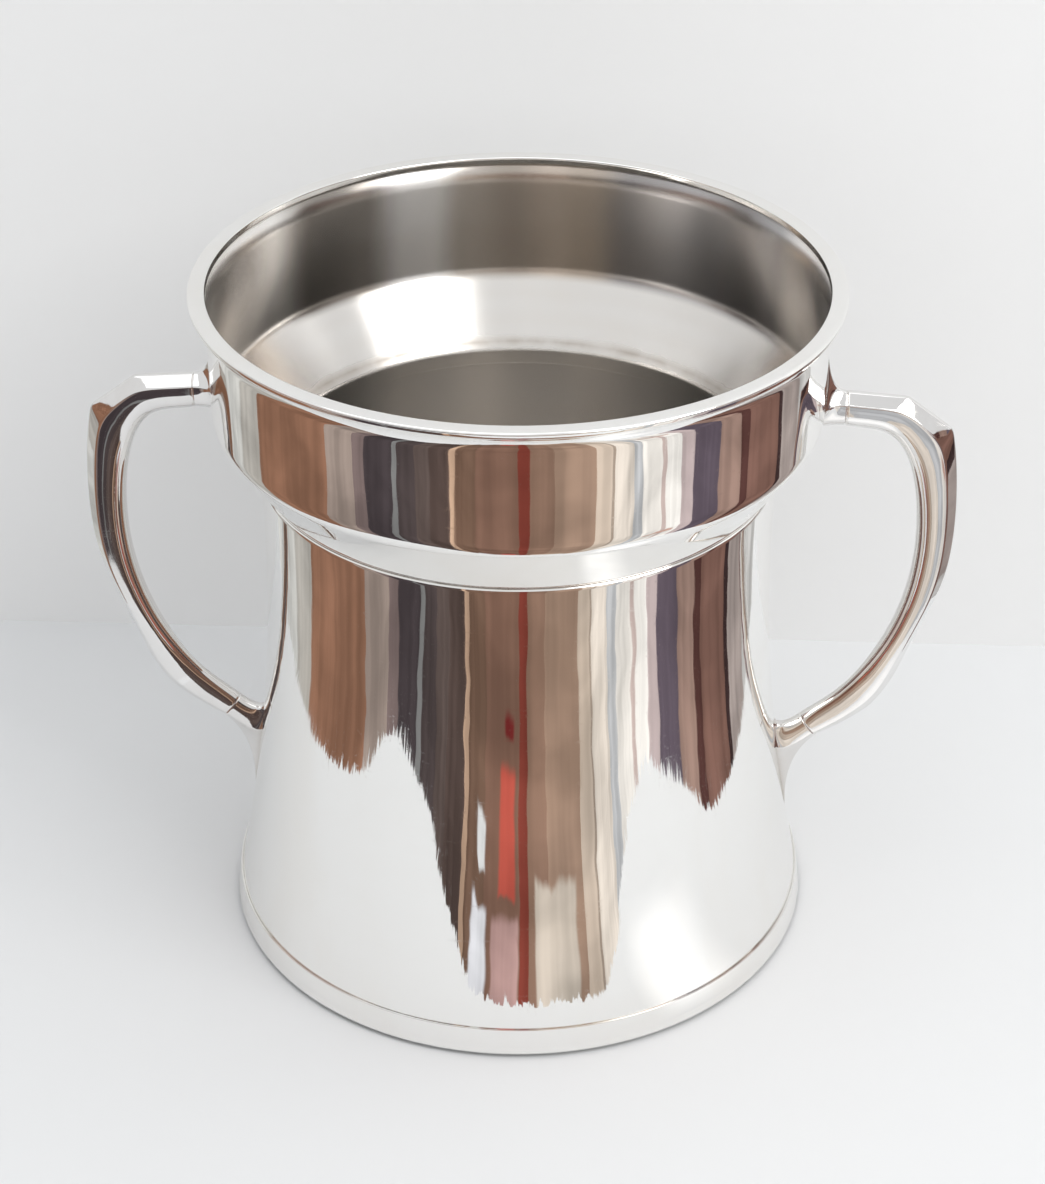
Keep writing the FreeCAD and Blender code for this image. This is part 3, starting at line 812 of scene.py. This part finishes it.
# plain cards round the front of the floor: only the silver's reflections see them
cardValues = {
    "line": [(-240, 120), (-228, 40), (-218, -30), (-206, -88), (-194, -132), (-182, -180), (-150, -204),
             (-112, -210), (-83, -199), (-51, -180), (-20, -150), (10, -143), (38, -139), (60, -130), (95, -146),
             (130, -166), (165, -168), (194, -150), (206, -105), (203, -75), (194, -50), (196, -15), (204, 45),
             (225, 120)],
    "height": 190.0, "floorGap": 0.2,
    "farReach": 1250.0, "farLow": 195.0, "farHigh": 620.0, "farSweep": 112.0,
    # where each colour starts, degrees from the front towards +X
    "bands": [(-110, (0.62, 0.62, 0.60)), (-98, (0.46, 0.44, 0.41)), (-86, (0.30, 0.155, 0.10)),
              (-57, (0.35, 0.28, 0.245)), (-48, (0.20, 0.15, 0.145)), (-43, (0.075, 0.06, 0.065)),
              (-35, (0.26, 0.26, 0.26)), (-33.5, (0.085, 0.066, 0.066)), (-27, (0.12, 0.09, 0.082)),
              (-22, (0.10, 0.07, 0.062)), (-15, (0.62, 0.42, 0.30)), (-13.6, (0.20, 0.12, 0.085)),
              (-7, (0.23, 0.13, 0.095)), (3.4, (0.24, 0.055, 0.04)), (6.0, (0.30, 0.185, 0.135)),
              (12, (0.40, 0.27, 0.20)), (22, (0.70, 0.58, 0.48)), (26, (0.42, 0.34, 0.28)),
              (27, (0.82, 0.74, 0.66)), (35, (0.55, 0.56, 0.58)), (39, (0.93, 0.89, 0.84)),
              (46, (0.62, 0.50, 0.47)), (48, (0.95, 0.92, 0.88)), (53, (0.56, 0.46, 0.46)),
              (57, (0.14, 0.11, 0.14)), (66, (0.36, 0.24, 0.20)), (73, (0.10, 0.045, 0.04)),
              (76, (0.23, 0.125, 0.10)), (90, (0.05, 0.03, 0.03)), (92, (0.40, 0.34, 0.32)),
              (104, (0.62, 0.61, 0.60))],
    "bandsTurn": 220,                             # the bands run over this many degrees
    # small things lower down: degrees from and to, height from and to, colour
    "things": [(-2.5, 2.2, 28.0, 60.0, (0.56, 0.11, 0.08)), (-1.0, 1.6, 68.0, 74.0, (0.22, 0.03, 0.03)),
               (-4.5, 3.0, -5.0, 22.0, (0.52, 0.33, 0.31)), (-10.5, -6.0, -5.0, 24.0, (0.86, 0.87, 0.92)),
               (-9.5, -6.5, 34.0, 48.0, (0.80, 0.81, 0.82)), (8.0, 20.0, -5.0, 34.0, (0.66, 0.58, 0.50)),
               (41.0, 52.0, 70.0, 82.0, (0.70, 0.45, 0.38))],
    "bright": {"from": 37.0, "to": 55.0, "near": 97.0, "far": 200.0, "glow": 1.2, "level": 0.6},
}


def cardMaterial():
    # upright bands of plain colour with a few small things on them, broken up a little, ragged at the floor
    material = bpy.data.materials.new("roomCards")
    material.use_nodes = True
    tree = material.node_tree
    tree.nodes.remove(tree.nodes["Principled BSDF"])
    place = tree.nodes.new("ShaderNodeTexCoord").outputs["Object"]
    apart = tree.nodes.new("ShaderNodeSeparateXYZ")
    tree.links.new(place, apart.inputs[0])
    wander = mathNode(tree, "SUBTRACT", noiseNode(tree, stretched(tree, place, (1, 1, 0.3)), 60.0, 3.0), 0.5)
    angle = mathNode(tree, "ARCTAN2", apart.outputs[0], mathNode(tree, "MULTIPLY", apart.outputs[1], -1.0))
    angle = mathNode(tree, "MULTIPLY_ADD", wander, 0.03, angle)
    across = mathNode(tree, "MULTIPLY_ADD", angle, 180 / np.pi / cardValues["bandsTurn"], 0.5)
    colour = bandedRamp(tree, across, cardValues["bands"], "CONSTANT", cardValues["bandsTurn"])
    degrees = mathNode(tree, "MULTIPLY", angle, 180 / np.pi)
    level = mathNode(tree, "MULTIPLY_ADD", wander, 0.02, apart.outputs[2])
    soft = 0.4                                    # degrees that the sides of a thing take to fade
    for left, right, low, high, paint in cardValues["things"]:
        sides = [remapped(tree, degrees, left - soft, left + soft),
                 remapped(tree, degrees, right - soft, right + soft, 1.0, 0.0),
                 remapped(tree, level, (low - 1) * mm, (low + 1) * mm),
                 remapped(tree, level, (high - 2) * mm, (high + 2) * mm, 1.0, 0.0)]
        inside = sides[0]
        for side in sides[1:]:
            inside = mathNode(tree, "MULTIPLY", inside, side)
        colour = mixedColour(tree, inside, colour, paint)
    streaks = remapped(tree, noiseNode(tree, stretched(tree, place, (1, 1, 0.05)), 90.0, 3.0), 0.3, 0.7, 0.84, 1.12)
    patches = noiseNode(tree, stretched(tree, place, (0.6, 0.6, 1.4)), 22.0, 3.0)
    blocks = remapped(tree, patches, 0.35, 0.65, 0.8, 1.15)
    light = tree.nodes.new("ShaderNodeEmission")
    tree.links.new(colour, light.inputs["Color"])
    tree.links.new(mathNode(tree, "MULTIPLY", streaks, blocks), light.inputs["Strength"])
    clear = tree.nodes.new("ShaderNodeBsdfTransparent")
    ragged = noiseNode(tree, stretched(tree, place, (1, 1, 0.2)), 300.0, 3.0, 0.6)
    bottomLine = mathNode(tree, "MULTIPLY", mathNode(tree, "SUBTRACT", ragged, 0.42), 0.012)
    shown = mathNode(tree, "GREATER_THAN", apart.outputs[2], bottomLine)
    mix = tree.nodes.new("ShaderNodeMixShader")
    tree.links.new(shown, mix.inputs[0])
    tree.links.new(clear.outputs[0], mix.inputs[1])
    tree.links.new(light.outputs[0], mix.inputs[2])
    tree.links.new(mix.outputs[0], tree.nodes["Material Output"].inputs["Surface"])
    return material


def brightMaterial():
    # a patch of daylight lying on the floor, soft at its sides
    bright = cardValues["bright"]
    material = bpy.data.materials.new("brightPatch")
    material.use_nodes = True
    tree = material.node_tree
    tree.nodes.remove(tree.nodes["Principled BSDF"])
    place = tree.nodes.new("ShaderNodeTexCoord").outputs["Object"]
    apart = tree.nodes.new("ShaderNodeSeparateXYZ")
    tree.links.new(place, apart.inputs[0])
    angle = mathNode(tree, "ARCTAN2", apart.outputs[0], mathNode(tree, "MULTIPLY", apart.outputs[1], -1.0))
    degrees = mathNode(tree, "MULTIPLY", angle, 180 / np.pi)
    mask = mathNode(tree, "MULTIPLY", remapped(tree, degrees, bright["from"] - 4, bright["from"] + 6),
                    remapped(tree, degrees, bright["to"] - 8, bright["to"] + 10, 1.0, 0.0))
    away = tree.nodes.new("ShaderNodeVectorMath")
    away.operation = "LENGTH"
    tree.links.new(place, away.inputs[0])
    away = away.outputs["Value"]
    opening = remapped(tree, away, bright["near"] * mm, (bright["near"] + 18) * mm)
    closing = remapped(tree, away, (bright["far"] - 40) * mm, bright["far"] * mm, 1.0, 0.0)
    mask = mathNode(tree, "MULTIPLY", mathNode(tree, "MULTIPLY", mask, opening), closing)
    light = tree.nodes.new("ShaderNodeEmission")
    light.inputs["Strength"].default_value = bright["glow"]
    mix = tree.nodes.new("ShaderNodeMixShader")
    tree.links.new(mask, mix.inputs[0])
    tree.links.new(tree.nodes.new("ShaderNodeBsdfTransparent").outputs[0], mix.inputs[1])
    tree.links.new(light.outputs[0], mix.inputs[2])
    tree.links.new(mix.outputs[0], tree.nodes["Material Output"].inputs["Surface"])
    return material


def throughPoints(points, count):
    # Catmull-Rom line: even blend of four neighbours, ((2b) + (c-a)s + (2a-5b+4c-d)s^2 + (3b-a-3c+d)s^3) / 2
    points = np.array(points, float)
    padded = np.concatenate([points[:1], points, points[-1:]])
    t = np.linspace(0, len(points) - 1 - 1e-9, count)
    k = t.astype(int)
    s = (t - k)[:, None]
    a, b, c, d = padded[k], padded[k + 1], padded[k + 2], padded[k + 3]
    return (2 * b + (c - a) * s + (2 * a - 5 * b + 4 * c - d) * s ** 2 + (3 * b - a - 3 * c + d) * s ** 3) / 2


def standingRows(line, heights):
    return np.concatenate([np.column_stack([line, np.full(len(line), z)]) for z in heights])


cardLine = throughPoints(cardValues["line"], 240)
cardPoints = standingRows(cardLine, (cardValues["floorGap"], cardValues["height"]))
cardPaint = cardMaterial()
cards = stagePiece("roomCards", cardPoints, quadGrid(2, 240, False, False).tolist(), cardPaint)
sweep = np.radians(np.linspace(-cardValues["farSweep"], cardValues["farSweep"], 90))
farLine = cardValues["farReach"] * np.column_stack([np.sin(sweep), -np.cos(sweep)])
farPoints = standingRows(farLine, (cardValues["farLow"], cardValues["farHigh"]))
farCards = stagePiece("farCards", farPoints, quadGrid(2, 90, False, False).tolist(), cardPaint)
bright = cardValues["bright"]
sweep = np.radians(np.linspace(bright["from"] - 3, bright["to"] + 10, 24))
patchPoints = np.concatenate([np.column_stack([r * np.sin(sweep), -r * np.cos(sweep), np.full(24, bright["level"])])
                              for r in (bright["near"], bright["far"])])
patch = stagePiece("brightPatch", patchPoints, quadGrid(2, 24, False, False).tolist(), brightMaterial())
for thing in (cards, farCards, patch):
    thing.visible_camera = False
    thing.visible_diffuse = False
    thing.visible_shadow = False
    thing.visible_transmission = False


def softbox(name, place, aim, size, power, colour):
    light = bpy.data.lights.new(name, "AREA")
    light.shape = "RECTANGLE"
    light.size, light.size_y = size[0] * mm, size[1] * mm
    light.energy = power
    light.color = colour
    lamp = bpy.data.objects.new(name, light)
    lamp.location = Vector(place) * mm
    lamp.rotation_euler = (Vector(aim) * mm - lamp.location).to_track_quat("-Z", "Y").to_euler()
    bpy.context.scene.collection.objects.link(lamp)
    return lamp


softbox("keySoftbox", (900, -650, 1200), (0, 0, 80), (900, 900), 8.5, (1.0, 0.985, 0.96))
softbox("topSoftbox", (-200, 100, 1500), (0, 0, 0), (1400, 1200), 4.0, (0.96, 0.98, 1.0))
world = bpy.data.worlds.new("paleRoom")
bpy.context.scene.world = world
world.use_nodes = True
world.node_tree.nodes["Background"].inputs["Color"].default_value = (0.885, 0.89, 0.895, 1)
world.node_tree.nodes["Background"].inputs["Strength"].default_value = 0.90
print("stage ready")

cameraValues = {"place": (43.9, -697.0, 542.8), "way": (-0.0519, 0.8485, -0.5265), "lens": 79.05}
camera = bpy.data.objects.new("camera", bpy.data.cameras.new("camera"))
camera.data.lens = cameraValues["lens"]
camera.location = Vector(cameraValues["place"]) * mm
camera.rotation_euler = Vector(cameraValues["way"]).to_track_quat("-Z", "Y").to_euler()
bpy.context.scene.collection.objects.link(camera)
bpy.context.scene.camera = camera
bpy.context.scene.view_settings.view_transform = "Standard"
